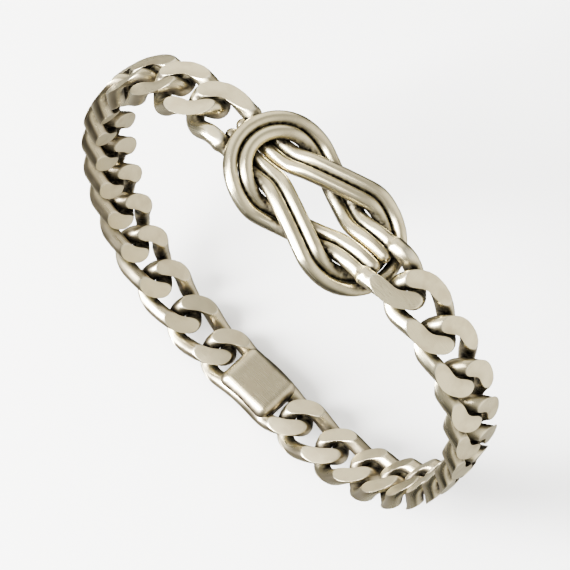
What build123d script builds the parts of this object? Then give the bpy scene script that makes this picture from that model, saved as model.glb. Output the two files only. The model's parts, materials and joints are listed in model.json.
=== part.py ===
"""Knot bracelet: a reef knot of doubled round wire, closed by a filed curb chain and a plain clasp.

The bracelet keeps the form that it has on a wrist. Millimetres. +Z is up, off the back of the wrist,
+Y runs along the forearm towards the hand and +X across the wrist. The origin lies on the skin under
the middle of the knot, and the chain hangs round the open wrist below it.
"""

import math
import os

from build123d import *

# Knot: two bights, each a U of two round wires that lie side by side
KNOT_WIRE = 1.7  # diameter of the wire
PAIR_GAP = 0.06  # between the two wires of a pair
BEND_RADIUS = 5.42  # of a bight's bend, to the middle of its pair of wires
BEND_CENTRE = 5.4  # of a bend, from the middle of the knot
LEG_CORNER = 5.2  # where a bight's legs turn parallel, past the middle of the knot
OVER_LEG_END = 10.1  # where the straight legs of the over bight end, past the middle of the knot
UNDER_LEG_END = 12.6  # the same for the under bight
LEG_GAP = 0.16  # between the two legs of a bight where they run parallel
CROSS_GAP = 0.14  # between one bight and the other where they cross

# Curb chain: twisted links, ground flat on both faces
LINK_WIRE = 2.2  # diameter of the wire
LINK_WIDTH = 8.3  # across a link before it is twisted
LINK_PITCH = 6.3  # from one joint of the chain to the next
LINK_SLACK = 0.4  # play of two links along the chain
LINK_TWIST = 50.0  # turn of a link's wire from its middle to its end, in degrees
TWIST_EASE = 0.25  # how much faster than evenly the wire turns at a link's middle, as a share
SIDE_LIFT = 0.7  # of the middle of a link's sides, away from the wrist
CHAIN_THICKNESS = 2.8  # over the two ground faces
LINKS_A_SIDE = 12

# End links soldered to the knot's legs
END_LINK_REACH = 1.8  # from the end of the legs to the middle of the end link
OVER_LINK_DROP = 9.0  # slope of the end link on the over bight, in degrees
UNDER_LINK_DROP = 13.0  # slope of the end link on the under bight, in degrees
SOLDER_LAP = 1.0  # length over which an end link's wire covers the end of a leg

# Clasp, hidden under the wrist
CLASP_JOINTS = 14.0  # from joint to joint
CLASP_LENGTH = 8.4
CLASP_WIDTH = 6.8
CLASP_THICKNESS = 3.6
CLASP_ROUNDING = 1.2

# Form of the worn chain
CHAIN_START = 17.0  # slope of the chain where it leaves the knot, in degrees
SIDE_STRAIGHTNESS = 13.0  # how far the chain runs ahead of an even turn at the sides, in degrees

# Shape tables
BEND_ARCS = 4  # arcs from the tip of a bend to the start of a leg
LINK_ARCS = 6  # arcs round one end of a link
BEND_LEVELS = (1.0, 1.0, 0.6, -0.7)  # height of each arc of the bend, as a share of CROSS_HEIGHT
LEG_LEVELS = (  # (place along the knot as a share of LEG_CORNER, height as a share of CROSS_HEIGHT)
    (-0.56, -1.00),
    (0.67, -1.00),
    (1.00, -0.15),
    (1.50, 1.00),
)

# Sizes that follow
CROSS_HEIGHT = (KNOT_WIRE + CROSS_GAP) / 2  # of a wire above or below the knot's middle plane
KNOT_LIFT = CROSS_HEIGHT + KNOT_WIRE / 2  # of the knot's middle plane above the skin
PAIR_OFFSET = (KNOT_WIRE + PAIR_GAP) / 2  # of each wire from the middle of its pair
LEG_LINE = LEG_GAP / 2 + KNOT_WIRE + PAIR_GAP / 2  # of a pair from the knot's axis at the legs' end
LINK_HALF_LENGTH = (LINK_PITCH + LINK_WIRE + LINK_SLACK) / 2  # to the middle of the wire
LINK_HALF_WIDTH = (LINK_WIDTH - LINK_WIRE) / 2
GRINDER = 2 * LINK_HALF_LENGTH + 2 * LINK_WIRE  # side of a block that covers a whole link


def turn_between(first, corner, last):
    """Degrees by which a route turns at a corner."""
    return (Vector(corner) - Vector(first)).get_angle(Vector(last) - Vector(corner))


def smooth_radii(points):
    """The largest arc at each corner of a route that leaves a short straight run on both sides."""
    radii = []
    for first, corner, last in zip(points, points[1:], points[2:]):
        run = min((Vector(corner) - Vector(first)).length, (Vector(last) - Vector(corner)).length)
        half_turn = math.radians(turn_between(first, corner, last)) / 2
        radii.append(0.47 * run / math.tan(half_turn))
    return radii


def round_wire(points, diameter):
    """Add a round wire that follows straight runs joined by tangent arcs."""
    with BuildLine() as route:
        FilletPolyline(*points, radius=smooth_radii(points))
    start = Plane(origin=route.wire() @ 0, z_dir=route.wire() % 0)
    with BuildSketch(start) as section:
        Circle(diameter / 2)
    sweep(section.sketch, path=route.wire())


def leg_slope():
    """Angle of the long legs that leave the bend on a tangent and reach the legs' corner."""
    across = LEG_CORNER + BEND_CENTRE
    return math.asin(BEND_RADIUS / math.hypot(across, LEG_LINE)) - math.atan2(LEG_LINE, across)


def bight_arm(offset, leg_end):
    """Corners of one arm of a bight's wire, from the tip of the bend to the end of the leg."""
    slope = leg_slope()
    step = (math.pi / 2 + slope) / BEND_ARCS
    reach = (BEND_RADIUS + offset) / math.cos(step / 2)
    arm = []
    for number, level in enumerate(BEND_LEVELS):
        turn = (number + 0.5) * step
        x = -BEND_CENTRE - reach * math.cos(turn)
        arm.append((x, reach * math.sin(turn), level * CROSS_HEIGHT))
    corner_y = LEG_LINE + offset
    corner_x = (BEND_RADIUS + offset - corner_y * math.cos(slope)) / math.sin(slope) - BEND_CENTRE
    for share, level in LEG_LEVELS:
        x = corner_x + (share - 1) * LEG_CORNER
        y = corner_y + max(0, corner_x - x) * math.tan(slope)
        arm.append((x, y, level * CROSS_HEIGHT))
    arm.append((leg_end, corner_y, CROSS_HEIGHT))
    return arm


def bight_route(offset, leg_end):
    """Corners of a bight's wire: a U with its bend at -X and its legs to +X."""
    arm = bight_arm(offset, leg_end)
    return [(x, -y, z) for x, y, z in reversed(arm)] + arm


def link_point(x, y, outward):
    """A point of a flat link, in the link's own frame, carried to its twisted and lifted place."""
    share = x / LINK_HALF_LENGTH
    turn = math.radians(LINK_TWIST) * share * (1 + TWIST_EASE * (1 - share**2))
    lift = outward * SIDE_LIFT * (1 - share**2) ** 2
    return (x, y * math.cos(turn), lift - y * math.sin(turn))


def half_link(outward=1):
    """Corners of the wire from the middle of a link's side round its +X end to the other side.

    The sides are lifted to the link's +Z where outward is 1, and to its -Z where it is -1.
    """
    straight = LINK_HALF_LENGTH - LINK_HALF_WIDTH
    step = math.pi / LINK_ARCS
    reach = LINK_HALF_WIDTH / math.cos(step / 2)
    corners = []
    for number in range(LINK_ARCS):
        turn = (number + 0.5) * step
        x = straight + reach * math.sin(turn)
        corners.append(link_point(x, reach * math.cos(turn), outward))
    middle_y = corners[0][1]
    lift = outward * SIDE_LIFT
    return [(0, middle_y, lift)] + corners + [(0, -middle_y, lift)]


def grind(frame, start):
    """Grind both faces flat, from a place along the link's frame outwards."""
    for side in (-1, 1):
        with BuildSketch(frame.offset(side * CHAIN_THICKNESS / 2)) as face:
            with Locations((start + GRINDER / 2, 0)):
                Rectangle(GRINDER, GRINDER)
        extrude(face.sketch, amount=side * GRINDER, mode=Mode.SUBTRACT)


def end_link(frame, tails, outward=1):
    """Add half a link whose wire runs back from the link's middle along two tails."""
    points = [frame.from_local_coords(Vector(*point)) for point in half_link(outward)]
    round_wire([tails[0]] + points + [tails[1]], LINK_WIRE)
    grind(frame, -END_LINK_REACH)


def end_link_frame(leg_end, drop):
    """Frame of the end link on a bight's legs, with its X axis down the chain."""
    slope = math.radians(drop)
    level = CROSS_HEIGHT + (LINK_WIRE - KNOT_WIRE) / 2 + CROSS_GAP
    origin = (leg_end + END_LINK_REACH, 0, level)
    x_dir = (math.cos(slope), 0, -math.sin(slope))
    return Plane(origin=origin, x_dir=x_dir, z_dir=(math.sin(slope), 0, math.cos(slope)))


def make_bight(leg_end, drop, outward):
    """A bight with its soldered end link, its bend at -X and above the middle plane.

    The end link's outer face is towards +Z where outward is 1, and towards -Z where it is -1.
    """
    frame = end_link_frame(leg_end, outward * drop)
    tail_x = leg_end - SOLDER_LAP
    tail_y = LEG_LINE + PAIR_OFFSET
    tail_z = frame.origin.Z
    with BuildPart() as soldered:
        end_link(frame, [(tail_x, tail_y, tail_z), (tail_x, -tail_y, tail_z)], outward)
    with BuildPart() as bight:
        for offset in (-PAIR_OFFSET, PAIR_OFFSET):
            route = bight_route(offset, leg_end)
            round_wire(route, KNOT_WIRE)
            with Locations(route[0], route[-1]):
                Sphere(KNOT_WIRE / 2)
        add(soldered.part)
    return bight.part


def make_curb_link():
    """One link of the chain, in its own frame."""
    side, *end, other_side = half_link()
    start = (Vector(*side) + Vector(*end[0])) / 2
    with BuildPart() as link:
        round_wire([start, *end, other_side, start.rotate(Axis.Z, 180)], LINK_WIRE)
        add(link.part.rotate(Axis.Z, 180))
        grind(Plane.XY, -GRINDER / 2)
    return link.part


def placed(shape, plane, name):
    """A copy of a shape, carried from its own frame to a plane of the bracelet, and named."""
    with BuildPart() as piece:
        add(plane.location * shape)
    piece.part.label = name
    return piece.part


def knot_joints():
    """Joints of the knot with the chain on the right and on the left, as (x, z)."""
    joints = []
    for side, leg_end, drop in ((1, OVER_LEG_END, OVER_LINK_DROP), (-1, UNDER_LEG_END, UNDER_LINK_DROP)):
        frame = end_link_frame(leg_end, side * drop)
        joint = frame.origin + frame.x_dir * (LINK_PITCH / 2)
        joints.append((side * joint.X, KNOT_LIFT + side * joint.Z))
    return joints


def headings(end):
    """Slope of each link of one side below the line through the knot's joints, in radians."""
    start = math.radians(CHAIN_START)
    swing = math.radians(SIDE_STRAIGHTNESS)
    shares = [(number + 0.5) / LINKS_A_SIDE for number in range(LINKS_A_SIDE)]
    return [start + (end - start) * share + swing * math.sin(2 * math.pi * share) for share in shares]


def closing_heading(half_span):
    """Slope with which the chain reaches the clasp so that both sides meet there."""
    low, high = math.radians(60), math.radians(300)
    for _ in range(60):
        end = (low + high) / 2
        reach = half_span + LINK_PITCH * sum(math.cos(heading) for heading in headings(end))
        if reach > CLASP_JOINTS / 2:
            low = end
        else:
            high = end
    return end


def chain_planes():
    """Planes of the links from the knot's right joint round to its left one, and of the clasp."""
    right, left = knot_joints()
    tilt = math.atan2(left[1] - right[1], right[0] - left[0])
    half_span = math.hypot(right[0] - left[0], right[1] - left[1]) / 2
    side = headings(closing_heading(half_span))
    slopes = side + [math.pi] + [2 * math.pi - heading for heading in reversed(side)]
    lengths = [LINK_PITCH] * LINKS_A_SIDE + [CLASP_JOINTS] + [LINK_PITCH] * LINKS_A_SIDE
    x, z = right
    planes = []
    for slope, length in zip(slopes, lengths):
        slope += tilt
        along = (math.cos(slope), 0, -math.sin(slope))
        middle = (x + along[0] * length / 2, 0, z + along[2] * length / 2)
        planes.append(Plane(origin=middle, x_dir=along, z_dir=(math.sin(slope), 0, math.cos(slope))))
        x += along[0] * length
        z += along[2] * length
    clasp_plane = planes.pop(LINKS_A_SIDE)
    return planes, clasp_plane


def make_clasp():
    """The clasp's rounded body with half a link soldered to each end, in its own frame."""
    reach = (CLASP_JOINTS - LINK_PITCH) / 2
    tail_y = half_link()[0][1]
    with BuildPart() as clasp:
        end_link(Plane(origin=(reach, 0, 0)), [(0, tail_y, 0), (0, -tail_y, 0)])
        add(clasp.part.rotate(Axis.Z, 180))
    with BuildPart() as body:
        Box(CLASP_LENGTH, CLASP_WIDTH, CLASP_THICKNESS)
        fillet(body.edges(), CLASP_ROUNDING)
        add(clasp.part)
    return body.part


os.makedirs("parts", exist_ok=True)
link_planes, clasp_plane = chain_planes()
knot_plane = Plane.XY.offset(KNOT_LIFT)
turned_plane = Plane(origin=(0, 0, KNOT_LIFT), x_dir=(-1, 0, 0), z_dir=(0, 0, -1))
curb_link = make_curb_link()
pieces = [
    placed(make_bight(OVER_LEG_END, OVER_LINK_DROP, 1), knot_plane, "knot_over_bight"),
    placed(make_bight(UNDER_LEG_END, UNDER_LINK_DROP, -1), turned_plane, "knot_under_bight"),
    placed(make_clasp(), clasp_plane, "clasp"),
]
for number, link_plane in enumerate(link_planes, 1):
    pieces.append(placed(curb_link, link_plane, f"curb_link_{number:02d}"))

for piece in pieces:
    export_step(piece, f"parts/{piece.label}.step")
chain_length = 2 * LINKS_A_SIDE * LINK_PITCH + CLASP_JOINTS
knot_length = math.dist(*knot_joints())
print("pieces", len(pieces), "volume", round(sum(piece.volume for piece in pieces), 1), "mm3")
print("length of the whole loop", round(chain_length + knot_length, 1), "mm")
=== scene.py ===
# %% [markdown]
# # A knot bracelet in worn silver
#
# Two U-shaped bights of doubled round wire pass through each other as a reef knot. A curb chain, ground
# flat on both faces, hangs from the knot's ends and closes the loop at the bottom with a plain clasp.
# The measured model comes first. Everything below is built around it, in its frame, in metres.

import json
import math

import bmesh
import bpy
import numpy as np
from mathutils import Matrix, Vector

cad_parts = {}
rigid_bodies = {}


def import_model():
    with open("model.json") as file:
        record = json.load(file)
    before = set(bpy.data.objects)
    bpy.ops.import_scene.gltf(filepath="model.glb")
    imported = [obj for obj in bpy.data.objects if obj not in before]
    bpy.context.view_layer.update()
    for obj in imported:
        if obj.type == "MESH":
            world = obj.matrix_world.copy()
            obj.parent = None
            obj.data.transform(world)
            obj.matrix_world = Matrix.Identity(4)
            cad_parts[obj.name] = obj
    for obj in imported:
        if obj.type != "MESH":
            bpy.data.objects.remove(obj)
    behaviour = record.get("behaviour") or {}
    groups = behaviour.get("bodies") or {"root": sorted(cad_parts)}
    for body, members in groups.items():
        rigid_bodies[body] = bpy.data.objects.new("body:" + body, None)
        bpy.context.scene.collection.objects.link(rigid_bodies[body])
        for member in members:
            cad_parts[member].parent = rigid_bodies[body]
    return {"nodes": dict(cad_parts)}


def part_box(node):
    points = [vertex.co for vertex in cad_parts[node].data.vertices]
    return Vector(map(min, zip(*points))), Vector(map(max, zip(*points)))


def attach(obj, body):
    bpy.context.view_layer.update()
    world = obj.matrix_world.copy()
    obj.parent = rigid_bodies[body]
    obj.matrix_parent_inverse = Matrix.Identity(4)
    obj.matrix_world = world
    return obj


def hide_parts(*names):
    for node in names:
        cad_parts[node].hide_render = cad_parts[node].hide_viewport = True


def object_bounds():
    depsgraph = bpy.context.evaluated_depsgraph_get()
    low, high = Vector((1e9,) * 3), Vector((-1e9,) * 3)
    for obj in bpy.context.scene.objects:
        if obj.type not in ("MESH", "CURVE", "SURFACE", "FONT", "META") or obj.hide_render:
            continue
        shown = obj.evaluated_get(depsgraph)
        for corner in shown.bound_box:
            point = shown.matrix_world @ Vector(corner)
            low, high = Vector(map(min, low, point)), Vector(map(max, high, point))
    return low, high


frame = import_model()
cad_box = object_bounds()
MM = 0.001
print("pieces in the measured model:", len(frame["nodes"]))

# %% [markdown]
# ## The camera
#
# The knot is the bracelet's face, so the picture is taken from above it, a little from one side. A Track
# To constraint could aim the camera, but it leaves the roll to guesswork. So the camera is placed by the
# directions of its own right, up and back axes. A long lens from 38 cm keeps the knot and the far chain
# at their true proportions, and the aim is the middle of the whole loop.

# %% Camera
KNOT_CENTRE = Vector((0, 0, 1.77)) * MM
CAMERA_RIGHT = Vector((0.7026, 0.6894, 0.1765))
CAMERA_UP = Vector((-0.6967, 0.6158, 0.3680))
CAMERA_BACK = Vector((0.1450, -0.3815, 0.9129))
CAMERA_DISTANCE = 380 * MM
FRAME_WIDTH = 66 * MM
AIM_RIGHT = -3.5 * MM
AIM_UP = -9.5 * MM
NEAREST_SEEN = 10 * MM

camera_data = bpy.data.cameras.new("camera")
camera_data.angle = 2 * math.atan(FRAME_WIDTH / 2 / CAMERA_DISTANCE)
camera_data.clip_start = NEAREST_SEEN
camera = bpy.data.objects.new("camera", camera_data)
bpy.context.scene.collection.objects.link(camera)
camera.location = KNOT_CENTRE + CAMERA_BACK * CAMERA_DISTANCE
aim = KNOT_CENTRE + CAMERA_RIGHT * AIM_RIGHT + CAMERA_UP * AIM_UP
back = (camera.location - aim).normalized()
right = CAMERA_UP.cross(back).normalized()
camera.rotation_euler = Matrix((right, back.cross(right), back)).transposed().to_euler()
bpy.context.scene.camera = camera
print("camera at", [round(v, 3) for v in camera.location], "angle", round(math.degrees(camera_data.angle), 2))

# %% [markdown]
# ## Wire that bends smoothly
#
# Drawn wire bends in one flowing curve, and polished metal shows every kink as a break in its
# highlights. A Blender curve with a round bevel would do, but the faces of the chain are ground later
# and the recesses darkened, which needs control of each vertex. So a cubic B-spline is worked out here
# from a few corners. It is pushed out a little at each one, because a B-spline cuts its corners more
# than an arc does.

# %% A smooth line through corners
SPAN_STEPS = 40  # points worked out between two corners


def spline_points(corners):
    """Points of a cubic B-spline that is steered by the corners."""
    t = np.linspace(0, 1, SPAN_STEPS, endpoint=False)[:, None]
    weights = ((1 - t) ** 3, 3 * t**3 - 6 * t**2 + 4, 1 + 3 * t + 3 * t**2 - 3 * t**3, t**3)
    spans = [
        sum(weight * corners[first + k] for k, weight in enumerate(weights)) / 6
        for first in range(len(corners) - 3)
    ]
    end = sum(weight * corner for weight, corner in zip((1, 4, 1), corners[-3:])) / 6
    return np.vstack(spans + [end[None]])


def smooth_line(corners, closed, spacing):
    """Points at an even spacing along a smooth curve that rounds the corners."""
    corners = np.array(corners, float)
    if closed:
        ring = np.vstack([corners[-2:], corners, corners[:3]])
    else:
        first, last = 2 * corners[0] - corners[1], 2 * corners[-1] - corners[-2]
        ring = np.vstack([first, first, corners, last, last])
    push = (2 * ring[1:-1] - ring[:-2] - ring[2:]) / 24
    dense = spline_points(ring[1:-1] + push)
    steps = np.r_[0, np.cumsum(np.linalg.norm(np.diff(dense, axis=0), axis=1))]
    count = int(round(steps[-1] / spacing))
    places = np.linspace(0, steps[-1], count + 1)
    if closed:
        places = places[:-1]
    return np.column_stack([np.interp(places, steps, dense[:, k]) for k in range(3)])


circle = [(5 * math.cos(a), 5 * math.sin(a), 0) for a in np.radians(np.arange(0, 360, 30))]
trial = smooth_line(circle, True, 0.1)
radii = np.linalg.norm(trial, axis=1)
print("a ring of 12 corners at 5 mm has radii of", radii.min().round(3), "to", radii.max().round(3), "mm")

# %% [markdown]
# ## Directions across the wire
#
# A round section needs two directions across the wire at every point. Blender's own curves find them
# with a minimum twist, and so does this: each pair is turned as little as possible from the one before.
# On a closed link a small turn is left over when the line comes home, and it is shared among all rings.

# %% Directions across the wire
START_SIDE = (0.3, 0.2, 1.0)  # no wire starts in this direction, so it always leads across


def ring_frames(line, closed):
    """Unit vectors across the line at each point, turned as little as possible from one to the next."""
    if closed:
        tangents = np.roll(line, -1, 0) - np.roll(line, 1, 0)
    else:
        tangents = np.gradient(line, axis=0)
    tangents /= np.linalg.norm(tangents, axis=1)[:, None]
    side = np.cross(tangents[0], START_SIDE)
    sides = []
    for tangent in tangents:
        side = side - tangent * side.dot(tangent)
        side = side / np.linalg.norm(side)
        sides.append(side)
    sides = np.array(sides)
    ups = np.cross(tangents, sides)
    if closed:
        back_home = sides[-1] - tangents[0] * sides[-1].dot(tangents[0])
        left_over = math.atan2(back_home.dot(ups[0]), back_home.dot(sides[0]))
        turn = (-left_over * np.arange(len(line)) / len(line))[:, None]
        sides, ups = sides * np.cos(turn) + ups * np.sin(turn), ups * np.cos(turn) - sides * np.sin(turn)
    return sides, ups


sides, ups = ring_frames(trial, True)
alike = np.clip((sides * np.roll(sides, -1, 0)).sum(1), -1, 1)
most = np.degrees(np.arccos(alike.min()))
print("neighbouring frames of the trial ring turn by", most.round(2), "degrees at most")

# %% [markdown]
# ## A round section swept along the line
#
# Rings of vertices follow the line and are joined by quads. An open wire gets a round end, as a cut end
# has after tumbling. Each vertex also keeps its place along and across the wire. That is its grain, and
# the fine lines that drawing leaves on wire follow it later.

# %% Sweep a round section
END_RINGS = (84, 70, 55, 40, 26, 12)  # degrees round the half ball at a cut end


def round_ends(line, radii):
    """Carry an open line on by a half round at both ends."""
    steps = np.radians(END_RINGS)
    first, last = line[0] - line[1], line[-1] - line[-2]
    first, last = first / np.linalg.norm(first), last / np.linalg.norm(last)
    start = [line[0] + first * radii[0] * math.sin(a) for a in steps]
    end = [line[-1] + last * radii[-1] * math.sin(a) for a in steps[::-1]]
    line = np.vstack([start, line, end])
    radii = np.r_[radii[0] * np.cos(steps), radii, radii[-1] * np.cos(steps[::-1])]
    return line, radii


def ring_faces(rings, around, closed):
    """Quads between the rings, and a cap at each end of an open wire."""
    i, j = np.meshgrid(np.arange(rings if closed else rings - 1), np.arange(around), indexing="ij")
    i2, j2 = (i + 1) % rings, (j + 1) % around
    quads = np.stack([i * around + j, i * around + j2, i2 * around + j2, i2 * around + j], -1)
    faces = [tuple(quad) for quad in quads.reshape(-1, 4).tolist()]
    if not closed:
        faces.append(tuple(range(around - 1, -1, -1)))
        faces.append(tuple(range((rings - 1) * around, rings * around)))
    return faces


def sweep(line, radii, closed, around):
    """Vertices, faces and grain of a round wire, with as many vertices around it as asked."""
    if not closed:
        line, radii = round_ends(line, radii)
    sides, ups = ring_frames(line, closed)
    turn = np.linspace(0, 2 * math.pi, around, endpoint=False)
    across = radii[:, None, None] * (
        sides[:, None] * np.cos(turn)[None, :, None] + ups[:, None] * np.sin(turn)[None, :, None]
    )
    vertices = (line[:, None] + across).reshape(-1, 3)
    length = np.r_[0, np.cumsum(np.linalg.norm(np.diff(line, axis=0), axis=1))]
    rings, wide = len(line), np.repeat(radii, around)
    grain = np.column_stack(
        [np.repeat(length, around), np.tile(np.cos(turn), rings) * wide, np.tile(np.sin(turn), rings) * wide]
    )
    return vertices, ring_faces(rings, around, closed), grain


vertices, faces, _ = sweep(trial, np.full(len(trial), 1.0), True, 24)
print("a trial ring has", len(vertices), "vertices and", len(faces), "faces")

# %% [markdown]
# ## Seats of the pieces
#
# Each piece has a frame of its own: X runs down the chain, Y across its width and Z points out of the
# loop. Empties could hold such frames, but the points are still plain numbers at this stage, so a small
# class carries them to the bracelet and back. A flipped seat turns a piece upside down and end to end,
# and its outward direction stays out of the loop.

# %% Seats
class Seat:
    """A frame of the bracelet: a place in the loop's plane, and a slope down from level."""

    def __init__(self, x, z, slope, flipped=False):
        along = np.array((math.cos(slope), 0, -math.sin(slope)))
        out = np.array((math.sin(slope), 0, math.cos(slope)))
        turned = -1 if flipped else 1
        self.origin = np.array((x, 0, z), float)
        self.axes = np.array((turned * along, (0, 1, 0), turned * out))
        self.outward = out

    def place(self, points):
        """Points of the seat's frame, carried to the bracelet."""
        return self.origin + np.asarray(points, float) @ self.axes

    def local(self, points):
        """Points of the bracelet, in the seat's frame."""
        return (np.asarray(points, float) - self.origin) @ self.axes.T


print("5 mm along a seat that slopes by 30 degrees:", Seat(0, 0, math.radians(30)).place((5, 0, 0)).round(2))

# %% [markdown]
# ## Where the chain joins the knot
#
# These sizes, and all that follow, are in millimetres and the same as in the measured model, so that
# each finer piece lies exactly where the plain one does. The legs of a bight end at a link that is
# soldered to them and drops a little, and the chain hangs from its far end. The under bight is the over
# bight flipped, so its leg end and its joint are counted to the left.

# %% Ends of the knot
KNOT_WIRE = 1.7
LINK_WIRE = 2.2
LINK_PITCH = 6.3  # from one joint of the chain to the next
CROSS_GAP = 0.14  # air between the bights where their wires cross
OVER_LEG_END = 10.1  # from the knot's middle to the end of the legs
UNDER_LEG_END = 12.6
OVER_LINK_DROP = 9.0  # slope of the end links in degrees
UNDER_LINK_DROP = 13.0
END_LINK_REACH = 1.8  # from the leg's end to the middle of the end link

CROSS_HEIGHT = (KNOT_WIRE + CROSS_GAP) / 2
KNOT_LIFT = CROSS_HEIGHT + KNOT_WIRE / 2


def end_link_seat(leg_end, drop):
    """Seat of the end link on a bight's legs, in the bight's own frame."""
    level = CROSS_HEIGHT + (LINK_WIRE - KNOT_WIRE) / 2 + CROSS_GAP
    return Seat(leg_end + END_LINK_REACH, level, math.radians(drop))


def knot_joints():
    """The right and the left end of the knot with its end links, as x and z."""
    joints = []
    for side, leg_end, drop in ((1, OVER_LEG_END, OVER_LINK_DROP), (-1, UNDER_LEG_END, UNDER_LINK_DROP)):
        joint = end_link_seat(leg_end, side * drop).place((LINK_PITCH / 2, 0, 0))
        joints.append((side * joint[0], KNOT_LIFT + side * joint[2]))
    return joints


print("middle of the knot", round(KNOT_LIFT, 2), "mm above the origin, chain joints at",
      [tuple(round(float(v), 2) for v in joint) for joint in knot_joints()])

# %% [markdown]
# ## Round to the clasp
#
# The chain leaves the knot at a gentle slope and turns evenly round to the clasp. The slope runs a little
# ahead on the upper half of each side and falls back on the lower half, which makes the sides straighter
# than a circle's. The same slopes serve both sides. How steep the last link is follows from halving: a
# range of slopes is halved again and again until the two sides meet at the clasp.

# %% Seats of the links and the clasp
LINKS_A_SIDE = 12
CLASP_JOINTS = 14.0  # from one joint of the clasp to the other
CHAIN_START = 17.0  # slope at the knot in degrees
SIDE_STRAIGHTNESS = 13.0  # how far the slope runs ahead in degrees
LAST_SLOPES = (60, 300)  # degrees between which the last slope is looked for
HALVINGS = 60


def headings(end):
    """Slopes of one side's links, for a slope at the clasp."""
    start, swing = math.radians(CHAIN_START), math.radians(SIDE_STRAIGHTNESS)
    shares = [(number + 0.5) / LINKS_A_SIDE for number in range(LINKS_A_SIDE)]
    return [start + (end - start) * share + swing * math.sin(2 * math.pi * share) for share in shares]


def closing_heading(half_span):
    """Slope with which the chain reaches the clasp so that both sides meet there."""
    low, high = (math.radians(slope) for slope in LAST_SLOPES)
    for _ in range(HALVINGS):
        end = (low + high) / 2
        reach = half_span + LINK_PITCH * sum(math.cos(heading) for heading in headings(end))
        if reach > CLASP_JOINTS / 2:
            low = end
        else:
            high = end
    return end


def chain_seats():
    """Seats of the links from the knot's right joint round to its left one, and of the clasp."""
    right, left = knot_joints()
    tilt = math.atan2(left[1] - right[1], right[0] - left[0])
    side = headings(closing_heading(math.dist(right, left) / 2))
    slopes = side + [math.pi] + [2 * math.pi - heading for heading in reversed(side)]
    lengths = [LINK_PITCH] * LINKS_A_SIDE + [CLASP_JOINTS] + [LINK_PITCH] * LINKS_A_SIDE
    (x, z), seats = right, []
    for slope, length in zip(slopes, lengths):
        step = np.array((math.cos(slope + tilt), -math.sin(slope + tilt))) * length
        seats.append(Seat(x + step[0] / 2, z + step[1] / 2, slope + tilt))
        x, z = x + step[0], z + step[1]
    clasp = seats.pop(LINKS_A_SIDE)
    return seats, clasp


link_seats, clasp_seat = chain_seats()
print("links", len(link_seats), "clasp at", clasp_seat.origin.round(1))

# %% [markdown]
# ## One arm of a bight
#
# Each bight is a U of two wires side by side. Its long legs leave the bend on a tangent, close up behind
# the other bight's bend and run on, parallel, to the chain. One arm is enough, because the other one
# mirrors it. Its corners could be placed by eye, but then a change of size would break the tangents,
# so they are worked out from the bend. Heights are shares of half a crossing: a wire rises over one leg
# pair and dives under the other.

# %% One arm of a bight
PAIR_GAP = 0.06  # air between the two wires of a pair
LEG_GAP = 0.16  # air between the two legs where they run side by side
BEND_RADIUS = 5.42  # of the bend, between its two wires
BEND_CENTRE = 5.4  # from the knot's middle to the middle of the bend
LEG_CORNER = 5.2  # from the knot's middle to where the legs close up
BEND_ARCS = 4  # straight pieces that a half bend is drawn with
BEND_LEVELS = (1.0, 1.0, 0.6, -0.7)
LEG_LEVELS = ((-0.56, -1.00), (0.67, -1.00), (1.00, -0.15), (1.50, 1.00))

PAIR_OFFSET = (KNOT_WIRE + PAIR_GAP) / 2
LEG_LINE = LEG_GAP / 2 + KNOT_WIRE + PAIR_GAP / 2


def leg_slope():
    """Slope of the legs between the bend and the place where they close up."""
    across = LEG_CORNER + BEND_CENTRE
    return math.asin(BEND_RADIUS / math.hypot(across, LEG_LINE)) - math.atan2(LEG_LINE, across)


def bight_arm(offset, leg_end):
    """Corners of one arm of a bight's wire, from the tip of the bend to the end of the leg."""
    slope = leg_slope()
    step = (math.pi / 2 + slope) / BEND_ARCS
    reach = (BEND_RADIUS + offset) / math.cos(step / 2)
    arm = []
    for number, level in enumerate(BEND_LEVELS):
        turn = (number + 0.5) * step
        arm.append((-BEND_CENTRE - reach * math.cos(turn), reach * math.sin(turn), level * CROSS_HEIGHT))
    corner_y = LEG_LINE + offset
    corner_x = (BEND_RADIUS + offset - corner_y * math.cos(slope)) / math.sin(slope) - BEND_CENTRE
    for share, level in LEG_LEVELS:
        x = corner_x + (share - 1) * LEG_CORNER
        arm.append((x, corner_y + max(0, corner_x - x) * math.tan(slope), level * CROSS_HEIGHT))
    arm.append((leg_end, corner_y, CROSS_HEIGHT))
    return arm


def mirrored(arm):
    """The bight's other arm, from the end of the leg to the tip of the bend."""
    return [(x, -y, z) for x, y, z in reversed(arm)]


print("legs close up at", round(math.degrees(leg_slope()), 1), "degrees, corners in an arm:",
      len(bight_arm(0, OVER_LEG_END)))

# %% [markdown]
# ## A twisted link
#
# A curb link starts as a flat ring with straight sides and is twisted so that it nests in its
# neighbours. The twist is strongest in the middle of the link, and the sides are lifted a little so that
# both come up to the ground faces. Blender's Simple Deform modifier could twist a finished ring, but it
# would twist the round section too. Twisting only the few corners of the middle line keeps it round.

# %% One link
LINK_WIDTH = 8.3
LINK_SLACK = 0.4  # play at a joint
LINK_TWIST = 50.0  # degrees from the middle of the link to its end
TWIST_EASE = 0.25
SIDE_LIFT = 0.7
LINK_ARCS = 6  # straight pieces that a half round end is drawn with
LINK_SPACING = 0.12  # between the rings of a link's mesh

LINK_HALF_LENGTH = (LINK_PITCH + LINK_WIRE + LINK_SLACK) / 2
LINK_HALF_WIDTH = (LINK_WIDTH - LINK_WIRE) / 2


def link_point(x, y, outward):
    """A point of a flat link carried to its twisted and lifted place."""
    share = x / LINK_HALF_LENGTH
    turn = math.radians(LINK_TWIST) * share * (1 + TWIST_EASE * (1 - share**2))
    lift = outward * SIDE_LIFT * (1 - share**2) ** 2
    return (x, y * math.cos(turn), lift - y * math.sin(turn))


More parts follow.
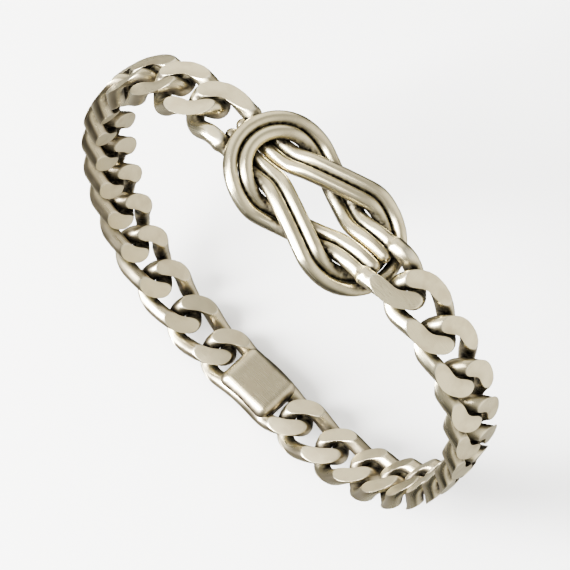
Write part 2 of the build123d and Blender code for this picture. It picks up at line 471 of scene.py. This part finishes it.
def half_link(outward=1):
    """Corners from the middle of a link's side round its +X end to the other side."""
    straight = LINK_HALF_LENGTH - LINK_HALF_WIDTH
    step = math.pi / LINK_ARCS
    reach = LINK_HALF_WIDTH / math.cos(step / 2)
    turns = [(number + 0.5) * step for number in range(LINK_ARCS)]
    end = [link_point(straight + reach * math.sin(turn), reach * math.cos(turn), outward) for turn in turns]
    middle_y, lift = end[0][1], outward * SIDE_LIFT
    return [(0, middle_y, lift)] + end + [(0, -middle_y, lift)]


def both_halves(half):
    """A half of a link's line and the same half turned end to end."""
    return half + [(-x, -y, z) for x, y, z in half]


one_link = smooth_line(both_halves(half_link()[1:]), True, LINK_SPACING)
print("one link uses", round(len(one_link) * LINK_SPACING, 1), "mm of wire and rises to",
      one_link[:, 2].max().round(2), "mm at its middle line")

# %% [markdown]
# ## The two wires of a bight
#
# The inner wire of a bight is open and stops against the end link. The outer wire runs on into that link
# and comes back, because the two are soldered into one ring. Two meshes pushed into each other would
# show a sharp seam there. So they are one closed line, whose radius grows from the thin wire to the
# thick one, with a small swell where the solder lies.

# %% Wires of a bight
KNOT_SPACING = 0.16  # between the rings of the knot's meshes
OUTER_LEG_SHORTER = 0.6  # the outer leg gives way to the end link before the inner one ends
THICKENS_BEFORE = 0.9  # where the wire starts to thicken, before the leg's end
THICKENS_OVER = 1.3  # and the length over which it does
SWELL_PLACE, SWELL_HEIGHT, SWELL_LENGTH = 0.05, 0.07, 0.42


def inner_line(leg_end):
    """The inner wire of a bight, open at both ends."""
    arm = bight_arm(-PAIR_OFFSET, leg_end)
    return smooth_line(mirrored(arm) + arm, False, KNOT_SPACING)


def outer_line(leg_end, drop, outward):
    """The outer wire of a bight, closed by its end link."""
    arm = bight_arm(PAIR_OFFSET, leg_end - OUTER_LEG_SHORTER)
    seat = end_link_seat(leg_end, outward * drop)
    link = [tuple(point) for point in seat.place(half_link(outward))]
    return smooth_line(arm + link + mirrored(arm), True, KNOT_SPACING)


def outer_radii(line, leg_end):
    """Radius along the outer wire: thin in the knot, thick in the end link, a swell at the solder."""
    x = line[:, 0]
    share = np.clip((x - leg_end + THICKENS_BEFORE) / THICKENS_OVER, 0, 1)
    share = share * share * (3 - 2 * share)
    swell = SWELL_HEIGHT * np.exp(-(((x - leg_end - SWELL_PLACE) / SWELL_LENGTH) ** 2))
    return KNOT_WIRE / 2 + share * (LINK_WIRE - KNOT_WIRE) / 2 + swell


trial = outer_line(OVER_LEG_END, OVER_LINK_DROP, 1)
print("over bight:", round(len(trial) * KNOT_SPACING, 1), "mm of outer wire, thickest",
      (2 * outer_radii(trial, OVER_LEG_END).max()).round(2), "mm")

# %% [markdown]
# ## Grinding the faces
#
# A curb chain lies flat because its twisted links are ground on both faces after it is closed. Cutting
# the mesh with a plane would leave hard, ragged edges. Instead each vertex that stands proud is pressed
# down to the ground face, with a soft shoulder as worn metal has. The face is a little crowned across
# the chain, because the final buffing takes more off its edges. How far a vertex was pressed is kept,
# and the finish uses it for the grinding marks and for the bright edges.

# %% Grinding
CHAIN_THICKNESS = 2.8
EDGE_SOFTNESS = 0.055
FACE_CROWN = 0.30
GROUND_DEPTH = 0.05  # pressed this far, a vertex counts as fully ground
EDGE_BAND = 0.09  # how far the bright edge reaches to either side
END_FACE_RISE = 1.2  # how steeply the face leaves the end link towards the legs


def grind(local, half_thickness):
    """Press a link's vertices down to its ground faces. Gives the points, and how ground each is."""
    z = local[:, 2]
    half_thickness = half_thickness - FACE_CROWN * (local[:, 1] / (LINK_WIDTH / 2)) ** 2
    over = np.logaddexp(0, (z - half_thickness) / EDGE_SOFTNESS) * EDGE_SOFTNESS
    under = np.logaddexp(0, (-z - half_thickness) / EDGE_SOFTNESS) * EDGE_SOFTNESS
    ground = np.clip((np.abs(z) - half_thickness) / GROUND_DEPTH, 0, 1)
    edge = np.exp(-(((np.abs(z) - half_thickness) / EDGE_BAND) ** 2))
    pressed = local.copy()
    pressed[:, 2] = z - over + under
    return pressed, ground, edge


def link_thickness(x):
    """Half the chain's thickness, all along a link."""
    return np.full(len(x), CHAIN_THICKNESS / 2)


def end_thickness(x):
    """The end link is ground only past the knot's legs."""
    return CHAIN_THICKNESS / 2 + np.maximum(0, -x - END_LINK_REACH) * END_FACE_RISE


proud = np.array([(0, 0, 1.0), (0, 0, 1.4), (0, 0, 1.8)])
print("heights of 1.0, 1.4 and 1.8 mm are ground to", grind(proud, link_thickness(proud))[0][:, 2].round(2))

# %% [markdown]
# ## Building the pieces
#
# A piece is gathered from its parts, such as the two wires of a bight. Each part keeps the middle line
# of its wire, because a later step measures how close each bit of surface lies to its neighbours. Mesh
# code does this directly, and it leaves no modifier behind.

# %% Pieces
class Piece:
    """A piece of the bracelet, made of parts with vertices, faces and measures at each vertex."""

    def __init__(self, name):
        self.name = name
        self.parts = []

    def wires(self):
        """The middle lines and radii of the piece's wires."""
        return [(part["line"], part["radius"]) for part in self.parts if part["line"] is not None]

    def add_part(self, seat, vertices, faces, grain, ground=None, edge=None, line=None, radii=None):
        """Keep a part that is given in a seat's frame. Without measures, it counts as not ground."""
        bare = np.zeros(len(vertices))
        self.parts.append(
            {
                "vertices": seat.place(vertices),
                "faces": faces,
                "grain": grain,
                "ground": bare if ground is None else ground,
                "edge": bare if edge is None else edge,
                "line": None if line is None else seat.place(line),
                "radius": radii,
                "away": np.repeat([seat.outward], len(vertices), 0),
            }
        )

    def add_wire(self, line, radii, closed, around, seat, link_seat=None, thickness=None):
        """Sweep a wire in a seat's frame, and grind it in the frame of its link if one is given."""
        vertices, faces, grain = sweep(line, radii, closed, around)
        ground = edge = None
        if link_seat is not None:
            local = link_seat.local(vertices)
            local, ground, edge = grind(local, thickness(local[:, 0]))
            vertices = link_seat.place(local)
        self.add_part(seat, vertices, faces, grain, ground, edge, line, radii)


OWN = Seat(0, 0, 0)  # a link is ground in its own frame
trial = Piece("trial")
trial.add_wire(one_link, np.full(len(one_link), LINK_WIRE / 2), True, 24, OWN, OWN, link_thickness)
ground = trial.parts[0]["ground"]
print("a trial link has", len(ground), "vertices,", round(100 * ground.mean()), "% of it ground")

# %% [markdown]
# ## The bights and the chain
#
# Both bights come from the same functions. The under one sits in a flipped seat, and its end link's
# sides are lifted the other way, so that they still bow out of the loop. The 24 links share one line and
# differ only in their seats. The link is thicker than the knot's wire and its ground face shows, so it
# gets more vertices around.

# %% The bights and the links
KNOT_AROUND, LINK_AROUND = 44, 56  # vertices around a wire

pieces = []
knot_sides = (
    ("knot_over_bight", Seat(0, KNOT_LIFT, 0), OVER_LEG_END, OVER_LINK_DROP, 1),
    ("knot_under_bight", Seat(0, KNOT_LIFT, 0, flipped=True), UNDER_LEG_END, UNDER_LINK_DROP, -1),
)
for name, seat, leg_end, drop, outward in knot_sides:
    bight = Piece(name)
    inner = inner_line(leg_end)
    bight.add_wire(inner, np.full(len(inner), KNOT_WIRE / 2), False, KNOT_AROUND, seat)
    outer = outer_line(leg_end, drop, outward)
    link_seat = end_link_seat(leg_end, outward * drop)
    bight.add_wire(outer, outer_radii(outer, leg_end), True, LINK_AROUND, seat, link_seat, end_thickness)
    pieces.append(bight)
for number, seat in enumerate(link_seats, 1):
    link = Piece(f"curb_link_{number:02d}")
    radii = np.full(len(one_link), LINK_WIRE / 2)
    link.add_wire(one_link, radii, True, LINK_AROUND, seat, OWN, link_thickness)
    pieces.append(link)
print("wires swept:", sum(len(piece.parts) for piece in pieces))

# %% [markdown]
# ## The clasp
#
# The clasp is one plain rounded body with half a link at each end, and the wire of the half links runs
# through it. The body could be a cube with a Bevel modifier, but that leaves each flat as one face, with
# no vertices on it to hold the measured gaps. Here a finely divided box is drawn back to a smaller box
# and pushed out again by the rounding radius, which rounds every edge and corner alike.

# %% Clasp
CLASP_SIZE = (8.4, 6.8, 3.6)
CLASP_ROUNDING = 1.2
CLASP_CUTS = 28
CLASP_SPACING = 0.14  # between the rings of the clasp's wire


def rounded_box(size, rounding, cuts):
    """Vertices and faces of a box with round edges."""
    shape = bmesh.new()
    bmesh.ops.create_cube(shape, size=1.0)
    bmesh.ops.subdivide_edges(shape, edges=shape.edges[:], cuts=cuts, use_grid_fill=True)
    half = np.array(size) / 2
    points = np.array([vertex.co[:] for vertex in shape.verts]) * 2
    points = np.sin(points * math.pi / 2) * half
    core = np.clip(points, -(half - rounding), half - rounding)
    outward = points - core
    points = core + outward / np.maximum(np.linalg.norm(outward, axis=1), 1e-9)[:, None] * rounding
    faces = [tuple(vertex.index for vertex in face.verts) for face in shape.faces]
    shape.free()
    return points, faces


def clasp_line():
    """The two half links and the wire that joins them through the clasp's body."""
    reach = (CLASP_JOINTS - LINK_PITCH) / 2
    side, *end, other_side = [(x + reach, y, z) for x, y, z in half_link()]
    half = [(reach / 3, side[1], 0), side] + end + [other_side, (reach / 3, other_side[1], 0)]
    return smooth_line(both_halves(half), True, CLASP_SPACING)


clasp = Piece("clasp")
line = clasp_line()
clasp.add_wire(line, np.full(len(line), LINK_WIRE / 2), True, LINK_AROUND, clasp_seat, OWN, link_thickness)
body_points, body_faces = rounded_box(CLASP_SIZE, CLASP_ROUNDING, CLASP_CUTS)
clasp.add_part(clasp_seat, body_points, body_faces, grain=body_points)
pieces.append(clasp)
print("clasp body:", len(body_faces), "faces")

# %% [markdown]
# ## How close the neighbours are
#
# Silver darkens where polishing cloth never reaches, and shade gathers in the same places, so both are
# painted there. Between the paired wires that is a thin line of tarnish and painted shade, and under a
# crossing or where two links bear on each other it is a broad dark patch, mostly a painted contact shadow.
# Blender's Ambient Occlusion node could find such places, but it casts rays for every sample. So two gaps
# are measured once for each vertex, to its own pair and to other pieces, and stored on the mesh.

# %% Gaps to the neighbours
REACH = 2.0  # no gap is measured beyond this


def gaps_to(vertices, lines):
    """Distance in millimetres from each vertex to the nearest surface of other wires, at most REACH."""
    gap = np.full(len(vertices), REACH)
    margin = REACH + LINK_WIRE / 2
    low, high = vertices.min(0) - margin, vertices.max(0) + margin
    for line, radii in lines:
        near = ((line > low) & (line < high)).all(1)
        if not near.any():
            continue
        points, radius = line[near], radii[near]
        squares = (vertices**2).sum(1)[:, None] + (points**2).sum(1)[None] - 2 * vertices @ points.T
        gap = np.minimum(gap, (np.sqrt(np.maximum(squares, 0)) - radius).min(1))
    return np.maximum(gap, 0)


for piece in pieces:
    others = [wire for other in pieces if other is not piece for wire in other.wires()]
    for part in piece.parts:
        pair = [wire for wire in piece.wires() if wire[0] is not part["line"]]
        part["pair_gap"] = gaps_to(part["vertices"], pair)
        part["gap"] = gaps_to(part["vertices"], others)
print("smallest gap between the bights:", round(min(part["gap"].min() for part in pieces[0].parts), 3), "mm")

# %% [markdown]
# ## Meshes
#
# Each piece becomes one mesh in metres that stands for the plain node of the same name. Its measures go
# with it as attributes, which a material can read by name. One more is worked out from the finished
# mesh: how far each vertex faces out of the loop.

# %% Meshes
def store(mesh, name, values):
    """Keep a measure on the mesh, as one number or one vector for each vertex."""
    values = np.asarray(values, np.float32)
    kind, field = ("FLOAT", "value") if values.ndim == 1 else ("FLOAT_VECTOR", "vector")
    mesh.attributes.new(name, kind, "POINT").data.foreach_set(field, values.ravel())


def make_object(piece):
    """One Blender mesh object from a piece's parts, with its measures as attributes."""
    faces, first = [], 0
    for part in piece.parts:
        faces += [tuple(index + first for index in face) for face in part["faces"]]
        first += len(part["vertices"])
    joined = {
        name: np.concatenate([part[name] for part in piece.parts])
        for name in ("vertices", "gap", "pair_gap", "ground", "edge", "away", "grain")
    }
    mesh = bpy.data.meshes.new(piece.name + "_silver")
    mesh.from_pydata((joined["vertices"] * MM).tolist(), [], faces)
    normals = np.zeros(len(mesh.vertices) * 3, np.float32)
    mesh.vertex_normals.foreach_get("vector", normals)
    joined["facing"] = (normals.reshape(-1, 3) * joined["away"]).sum(1)
    for name in ("gap", "pair_gap", "ground", "edge", "facing", "grain"):
        store(mesh, name, joined[name])
    mesh.shade_smooth()
    made = bpy.data.objects.new(piece.name + "_silver", mesh)
    bpy.context.scene.collection.objects.link(made)
    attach(made, "root")
    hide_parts(piece.name)
    return made


def box_difference(name, made):
    """The most by which a finer piece's box differs from its plain node's, in millimetres."""
    corners = np.array([vertex.co for vertex in made.data.vertices])
    low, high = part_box(name)
    return max(np.abs(corners.min(0) - low).max(), np.abs(corners.max(0) - high).max()) / MM


objects = {piece.name: make_object(piece) for piece in pieces}
differences = {name: box_difference(name, made) for name, made in objects.items()}
widest = max(differences, key=differences.get)
print("pieces", len(objects), "faces", sum(len(made.data.polygons) for made in objects.values()),
      "largest box difference", round(differences[widest], 2), "mm, at", widest)

# %% [markdown]
# ## Writing shader maths
#
# Chains of Math nodes are hard to read. This class wraps one output socket, so that a plain Python sum
# such as 1 - mask adds the nodes for it, and one method adds any other node.

# %% Shader maths
class Field:
    """A value that varies over a surface: an output socket of a material's node tree."""

    def __init__(self, tree, socket=None):
        self.tree, self.socket = tree, socket

    def node(self, kind, settings=None, sockets=None, output=0):
        """Add a node, set it up, feed its sockets with values or fields, and give one of its outputs."""
        made = self.tree.nodes.new(kind)
        for name, value in (settings or {}).items():
            setattr(made, name, value)
        for name, value in (sockets or {}).items():
            if isinstance(value, Field):
                self.tree.links.new(value.socket, made.inputs[name])
            else:
                made.inputs[name].default_value = value
        return Field(self.tree, made.outputs[output])

    def maths(self, operation, first, second):
        """A Math node on two numbers or fields."""
        return self.node("ShaderNodeMath", {"operation": operation}, {0: first, 1: second})

    def __add__(self, other):
        return self.maths("ADD", self, other)

    def __sub__(self, other):
        return self.maths("SUBTRACT", self, other)

    def __rsub__(self, other):
        return self.maths("SUBTRACT", other, self)

    def __mul__(self, other):
        return self.maths("MULTIPLY", self, other)

    __radd__, __rmul__ = __add__, __mul__

    def between(self, low, high):
        """0 at the low value, 1 at the high one, and smooth in between."""
        settings = {"interpolation_type": "SMOOTHSTEP"}
        return self.node("ShaderNodeMapRange", settings, {"Value": self, "From Min": low, "From Max": high})

    def blend(self, first, second):
        """The first colour where this field is 0, the second where it is 1."""
        settings = {"data_type": "RGBA"}
        return self.node("ShaderNodeMix", settings, {0: self, 6: first, 7: second}, output=2)


print("operators:", [name for name in vars(Field) if name.endswith(("add__", "sub__", "mul__"))])

# %% [markdown]
# ## Marks on the metal
#
# Silver that has been worn is never even. It has cloudy patches a few millimetres wide, finer blotches,
# lines along the wire from when it was drawn, and lines across the ground faces from the wheel. Painted
# images would need unwrapped meshes, so all four are noise. The drawing lines are noise stretched along
# the grain of each wire, and the wheel's are noise squeezed in the direction of the chain's width.

# %% Marks on the metal
CLOUD_SCALE = 420.0  # patches to a metre
BLOTCH_SCALE = 1500.0
DRAWN_STRETCH = (0.5, 9.0, 9.0)  # lines to a millimetre, along the wire and across it
WHEEL_STRETCH = (700.0, 9000.0, 700.0)  # lines to a metre


def measure(paint, name):
    """A measure that the meshes carry."""
    return paint.node("ShaderNodeAttribute", {"attribute_name": name}, output=2)


def noise(paint, place, scale, detail):
    """Noise from 0 to 1."""
    return paint.node("ShaderNodeTexNoise", None, {"Vector": place, "Scale": scale, "Detail": detail})


def stretched(paint, place, scale):
    """A place scaled by a factor for each of its axes."""
    return paint.node("ShaderNodeMapping", None, {"Vector": place, "Scale": scale})


def marks(paint):
    """The cloudy patches, the blotches, the drawing lines and the wheel's lines."""
    place = paint.node("ShaderNodeTexCoord", output=3)
    grain = paint.node("ShaderNodeAttribute", {"attribute_name": "grain"}, output=1)
    cloudy = noise(paint, place, CLOUD_SCALE, 3.0)
    blotch = noise(paint, place, BLOTCH_SCALE, 4.0)
    drawn = noise(paint, stretched(paint, grain, DRAWN_STRETCH), 1.0, 5.0)
    wheel = noise(paint, stretched(paint, place, WHEEL_STRETCH), 1.0, 2.0)
    return cloudy, blotch, drawn, wheel


print("cloudy patches are about", round(1000 / CLOUD_SCALE, 1), "mm wide, blotches",
      round(1000 / BLOTCH_SCALE, 1), "mm and the wheel's lines", round(1000 / WHEEL_STRETCH[1], 2), "mm")

# %% [markdown]
# ## The colour of worn silver
#
# Sterling silver is a warm, bright metal. It yellows where it has begun to tarnish, and it stays bright on
# the edges of the ground faces, which rub on cloth all day. The recesses are painted nearly black, partly for
# tarnish and partly as painted shade. A wire's flanks mirror what is beside them and look darker than its
# top. In an empty scene nothing is beside them, so a darker reflection is painted on them, a dusky silver,
# by how far they face out of the loop. The faces on the inside keep most of their silver.

# %% Colour of worn silver
SILVER = (0.890, 0.820, 0.580, 1)
YELLOWED = (0.640, 0.560, 0.380, 1)
# painted darker reflection on the wires' flanks, standing in for a dark surround
PAINTED_DARK_REFLECTION = (0.330, 0.285, 0.205, 1)
# black painted in the recesses, partly for tarnish and partly for shade
TARNISH_AND_SHADE_BLACK = (0.018, 0.015, 0.012, 1)
BRIGHT = (0.960, 0.925, 0.780, 1)


def recesses(gap, pair_gap, ground):
    """Where black tarnish and painted shade go: 1 in the groove of a pair and where pieces bear on each
    other, though less so on a ground face.
    """
    groove = 1 - pair_gap.between(0.10, 0.85)
    crossing = (1 - gap.between(0.45, 1.45)) * (1 - ground * 0.85)
    return 1 - (1 - groove) * (1 - crossing)


def flanks(facing):
    """Where the darker reflection is painted: 1 on the flanks, 0 on what faces out of the loop, and about a
    third on what faces into it.
    """
    return (1 - facing.between(-0.30, 0.62)) * (0.35 + facing.between(-0.95, -0.55) * 0.65)


def silver_colour(gap, edge, cloudy, painted_reflection_mask, tarnish_and_shade):
    """Silver, then the tarnish, the rubbed edges, the painted flank reflection and the recesses' tarnish and
    painted shade, each over the last.
    """
    tarnish = (1 - gap.between(0.2, 1.6)) * 0.45 + cloudy.between(0.46, 0.68) * 0.50
    colour = tarnish.blend(SILVER, YELLOWED)
    colour = (edge * 0.6).blend(colour, BRIGHT)
    # a darker reflection is painted on the flanks
    colour = (painted_reflection_mask * 0.9).blend(colour, PAINTED_DARK_REFLECTION)
    # the recesses are painted black, partly tarnish and partly painted shade
    return tarnish_and_shade.blend(colour, TARNISH_AND_SHADE_BLACK)


print("silver is", round(sum(SILVER[:3]) / sum(PAINTED_DARK_REFLECTION[:3]), 1), "times as bright as its flanks and",
      round(sum(SILVER[:3]) / sum(TARNISH_AND_SHADE_BLACK[:3])), "times as bright as its recesses")

# %% [markdown]
# ## One material for every piece
#
# The whole bracelet is one metal with one history, so all pieces share a material, and the measures on
# their meshes tell it where it is. Polish gives a low roughness. Drawing lines, grinding and tarnish
# each raise it a little, and black recesses are dull. The relief is tiny, a few hundredths of a
# millimetre, and the broad cloudy waves in it matter most, because they bend the highlights.

# %% Silver
RELIEF_DEPTH = 0.02 * MM


def worn_silver():
    """The silver: its colour, its roughness and its relief, from the measures and the marks."""
    material = bpy.data.materials.new("worn_silver")
    material.use_nodes = True
    tree = material.node_tree
    surface = tree.nodes["Principled BSDF"]
    surface.inputs["Metallic"].default_value = 1.0
    paint = Field(tree)
    gap, pair_gap, ground, edge, facing = (
        measure(paint, name) for name in ("gap", "pair_gap", "ground", "edge", "facing")
    )
    cloudy, blotch, drawn, wheel = marks(paint)
    # where the darker reflection is painted on the flanks
    painted_reflection_mask = flanks(facing)
    # black of tarnish and painted shade in the recesses, broken up by blotches
    tarnish_and_shade = recesses(gap, pair_gap, ground) * (0.60 + blotch.between(0.30, 0.62) * 0.40)

    colour = silver_colour(gap, edge, cloudy, painted_reflection_mask, tarnish_and_shade)
    tree.links.new(colour.socket, surface.inputs["Base Color"])

    roughness = 0.20 + drawn.between(0.45, 0.75) * 0.07
    roughness = roughness + ground * 0.07 + wheel.between(0.4, 0.7) * ground * 0.06
    roughness = roughness + tarnish_and_shade * 0.25 + painted_reflection_mask * 0.10 + cloudy.between(0.4, 0.7) * 0.05
    tree.links.new(roughness.socket, surface.inputs["Roughness"])

    height = drawn * 0.25 + blotch * 0.30 + cloudy * 2.6 + wheel * ground * 2.0
    bumped = paint.node("ShaderNodeBump", None, {"Height": height, "Distance": RELIEF_DEPTH, "Strength": 0.6})
    tree.links.new(bumped.socket, surface.inputs["Normal"])
    return material


silver = worn_silver()
for made in objects.values():
    made.data.materials.append(silver)
print("nodes in the silver:", len(silver.node_tree.nodes))

# %% [markdown]
# ## The floor
#
# The pale floor is there for the eye and for the shadow. It lies just below the clasp. It is kept out of
# the metal's reflections, which would otherwise lose their darks to it, and the room shader below gives
# back as much of it as the metal needs.

# %% Floor
FLOOR_DROP = 1.5 * MM
FLOOR_REACH = 4.0  # metres from the middle to each side

floor_z = cad_box[0][2] - FLOOR_DROP
corners = ((-FLOOR_REACH, -FLOOR_REACH), (FLOOR_REACH, -FLOOR_REACH),
           (FLOOR_REACH, FLOOR_REACH), (-FLOOR_REACH, FLOOR_REACH))
mesh = bpy.data.meshes.new("floor")
mesh.from_pydata([(x, y, floor_z) for x, y in corners], [], [(0, 1, 2, 3)])
floor = bpy.data.objects.new("floor", mesh)
bpy.context.scene.collection.objects.link(floor)
pale = bpy.data.materials.new("pale_floor")
pale.use_nodes = True
pale.node_tree.nodes["Principled BSDF"].inputs["Base Color"].default_value = (0.93, 0.93, 0.92, 1)
pale.node_tree.nodes["Principled BSDF"].inputs["Roughness"].default_value = 0.7
mesh.materials.append(pale)
floor.visible_glossy = False
print("floor at", round(floor_z / MM, 2), "mm")

# %% [markdown]
# ## Two soft panels
#
# A studio lights jewellery with a few large panels, since each one is seen in the metal as a shape. The
# panel overhead gives the wires their calm warm tone, and a narrow bright one at the side draws the white
# highlights along them. Both are area lights, placed by directions seen from where the picture is taken.

# %% Panels
def soft_panel(name, direction, distance, size, power, colour):
    """A rectangular light that faces the knot, placed by shares of right, up and back."""
    data = bpy.data.lights.new(name, "AREA")
    data.shape = "RECTANGLE"
    data.size, data.size_y = size
    data.energy, data.color = power, colour
    made = bpy.data.objects.new(name, data)
    bpy.context.scene.collection.objects.link(made)
    away = (CAMERA_RIGHT * direction[0] + CAMERA_UP * direction[1] + CAMERA_BACK * direction[2]).normalized()
    made.location = KNOT_CENTRE + away * distance
    made.rotation_euler = away.to_track_quat("Z", "Y").to_euler()
    return made


overhead = soft_panel("overhead", (-0.35, 0.30, 1.0), 0.9, (0.6, 0.6), 6.5, (1.0, 0.97, 0.92))
left_strip = soft_panel("left_strip", (-0.85, -0.05, 0.55), 0.6, (0.20, 0.7), 34.0, (1.0, 1.0, 1.0))
print("panels at", [[round(v, 2) for v in panel.location] for panel in (overhead, left_strip)])

# %% [markdown]
# ## The room in the metal
#
# Polished metal looks like what surrounds it, so the room is drawn with care, and only for the
# reflections. It is dark at the horizon and below, which draws the black lines, and brighter above. It
# is open and bright to the right and to the left, where the ground faces of the chain look, and a pale
# light comes from steeply below, as from a floor. The light that falls on rough things, and what is
# seen directly, are plain and even. A firmer contrast in the view keeps the blacks black.

# %% Room
ROOM = (0.13, 0.125, 0.115, 1)
ROOM_LIT = (0.80, 0.77, 0.71, 1)
ROOM_DARK = (0.020, 0.020, 0.020, 1)
FLOOR_LIGHT = (0.86, 0.84, 0.79, 1)
OPEN_LIGHT = (1.20, 1.15, 1.05, 1)
OPEN_RIGHT = (0.80, 0.45, 0.10)  # directions of the two open sides
OPEN_LEFT = (-0.84, 0.42, 0.34)
EVEN_LIGHT = (0.82, 0.82, 0.82, 1)
BACKDROP = (0.95, 0.95, 0.94, 1)

world = bpy.data.worlds.new("studio")
bpy.context.scene.world = world
world.use_nodes = True
tree = world.node_tree
room = Field(tree)
seen = room.node("ShaderNodeLightPath", output=0)
glossy = room.node("ShaderNodeLightPath", output=3)
direction = room.node("ShaderNodeTexCoord", output=0)
height = room.node("ShaderNodeSeparateXYZ", None, {0: direction}, output=2)
towards_right, towards_left = (
    room.node("ShaderNodeVectorMath", {"operation": "DOT_PRODUCT"}, {0: direction, 1: side}, output=1)
    for side in (OPEN_RIGHT, OPEN_LEFT)
)
around = height.between(-0.55, 0.15).blend(ROOM_DARK, ROOM)
around = (height.between(0.1, 0.9) * 0.45).blend(around, ROOM_LIT)
around = ((1 - height.between(-0.95, -0.45)) * 0.55).blend(around, FLOOR_LIGHT)
around = towards_right.between(0.25, 0.80).blend(around, OPEN_LIGHT)
around = towards_left.between(0.60, 0.92).blend(around, OPEN_LIGHT)
shade = seen.blend(glossy.blend(EVEN_LIGHT, around), BACKDROP)
tree.links.new(shade.socket, tree.nodes["Background"].inputs["Color"])
tree.nodes["Background"].inputs["Strength"].default_value = 1.0
bpy.context.scene.view_settings.look = "AgX - Medium High Contrast"
print("nodes in the room:", len(tree.nodes))

# %% [markdown]
# ## Finish
#
